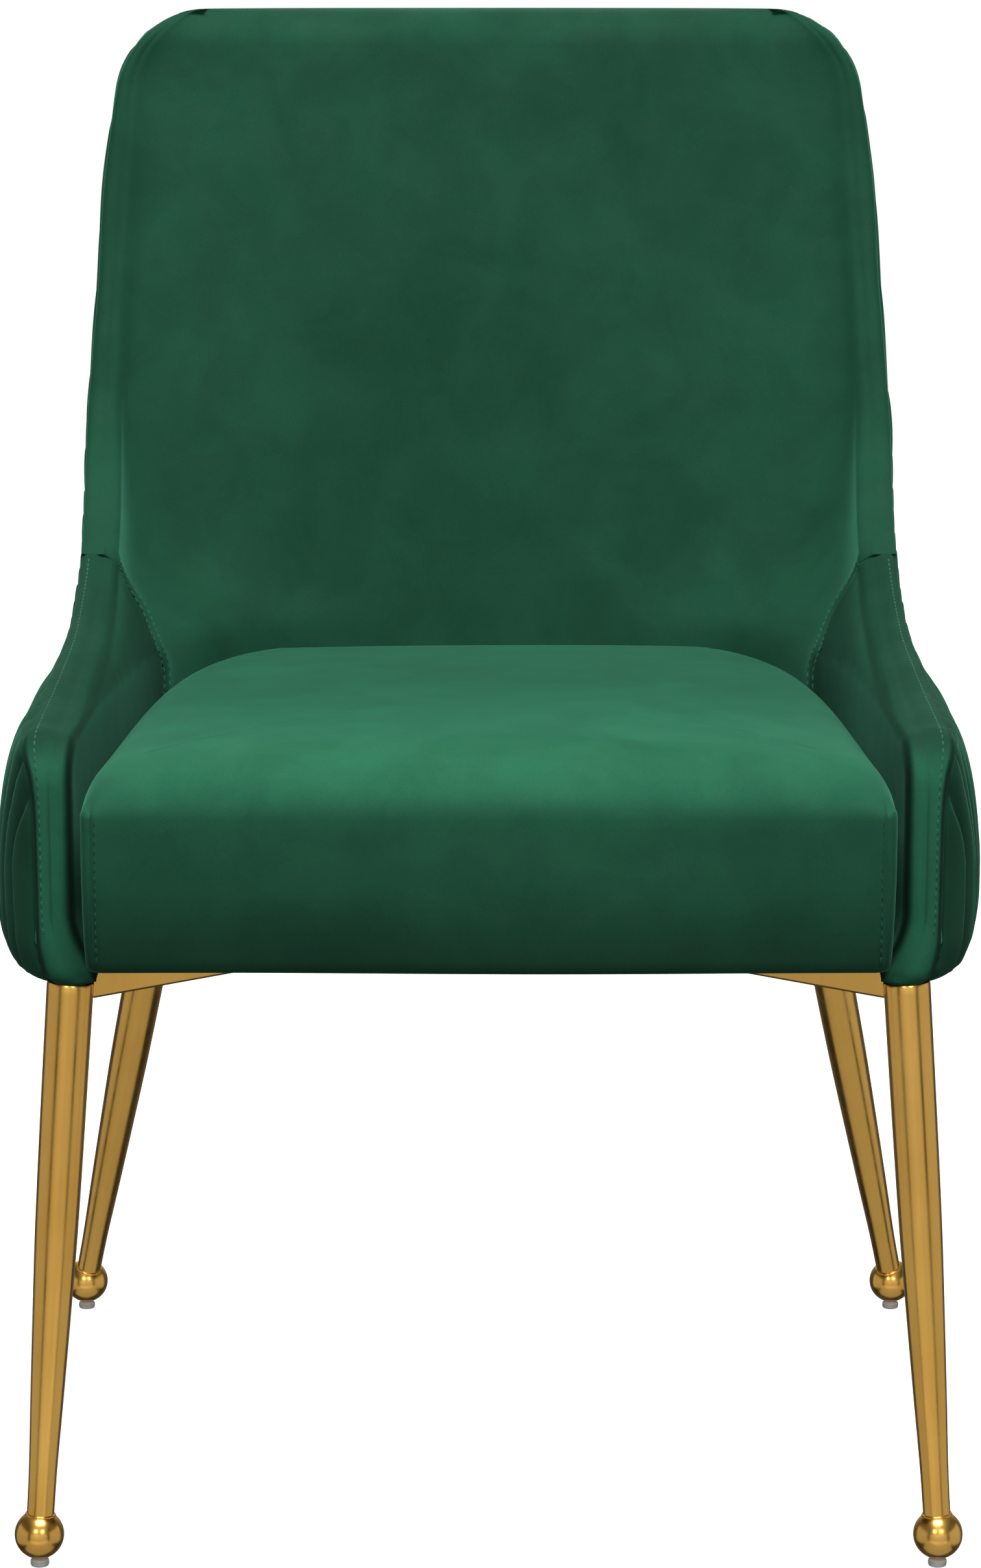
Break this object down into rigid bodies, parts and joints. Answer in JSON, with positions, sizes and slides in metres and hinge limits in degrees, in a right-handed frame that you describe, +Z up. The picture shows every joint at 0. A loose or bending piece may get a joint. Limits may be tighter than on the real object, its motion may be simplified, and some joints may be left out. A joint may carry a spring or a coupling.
{
  "type": "dining chair",
  "caption": "Upholstered side chair with a curved velvet shell, low sweeping arms, a boxed seat cushion and tapered metal legs on ball feet.",
  "frame": {"origin": "on the floor, at the centre of the chair's footprint box", "axes": "+Z up; -Y is the front, where the sitter faces; +X is the sitter's left"},
  "size_m": [0.5712, 0.5624, 0.8668],
  "materials": {
    "velvet": "short pile velvet, woven sheen",
    "gold": "polished gold electroplate",
    "glide_plastic": "satin translucent plastic",
    "wood": "planed, unfinished",
    "plywood": "sanded, unfinished",
    "webbing": "woven jute",
    "steel": "zinc plated",
    "cambric": "black non-woven cloth"
  },
  "bodies": {
    "root": {"arm_band_left": "velvet", "arm_band_right": "velvet", "back_board": "plywood", "back_lower_rail": "wood", "back_pad": "velvet", "back_post_left": "wood", "back_post_right": "wood", "back_tie_left": "wood", "back_tie_right": "wood", "back_top_rail": "wood", "ball_foot_front_left": "gold", "ball_foot_front_right": "gold", "ball_foot_rear_left": "gold", "ball_foot_rear_right": "gold", "bolt_front_left": "steel", "bolt_front_right": "steel", "bolt_rear_left": "steel", "bolt_rear_right": "steel", "corner_block_front_left": "wood", "corner_block_front_right": "wood", "corner_block_rear_left": "wood", "corner_block_rear_right": "wood", "cross_bar_front_half": "gold", "cross_bar_long": "gold", "cross_bar_rear_half": "gold", "front_rail": "wood", "glide_front_left": "glide_plastic", "glide_front_right": "glide_plastic", "glide_rear_left": "glide_plastic", "glide_rear_right": "glide_plastic", "leg_front_left": "gold", "leg_front_right": "gold", "leg_rear_left": "gold", "leg_rear_right": "gold", "mounting_plate_front_left": "steel", "mounting_plate_front_right": "steel", "mounting_plate_rear_left": "steel", "mounting_plate_rear_right": "steel", "outer_cover_back": "velvet", "outer_cover_left": "velvet", "outer_cover_right": "velvet", "rear_rail": "wood", "seat_cushion": "velvet", "seat_dust_cover": "cambric", "shell_dust_cover": "cambric", "side_board_left": "plywood", "side_board_right": "plywood", "side_pad_left": "velvet", "side_pad_right": "velvet", "side_rail_left": "wood", "side_rail_right": "wood", "webbing_strap_1": "webbing", "webbing_strap_2": "webbing", "webbing_strap_3": "webbing", "webbing_strap_4": "webbing", "webbing_strap_5": "webbing"}
  },
  "joints": []
}
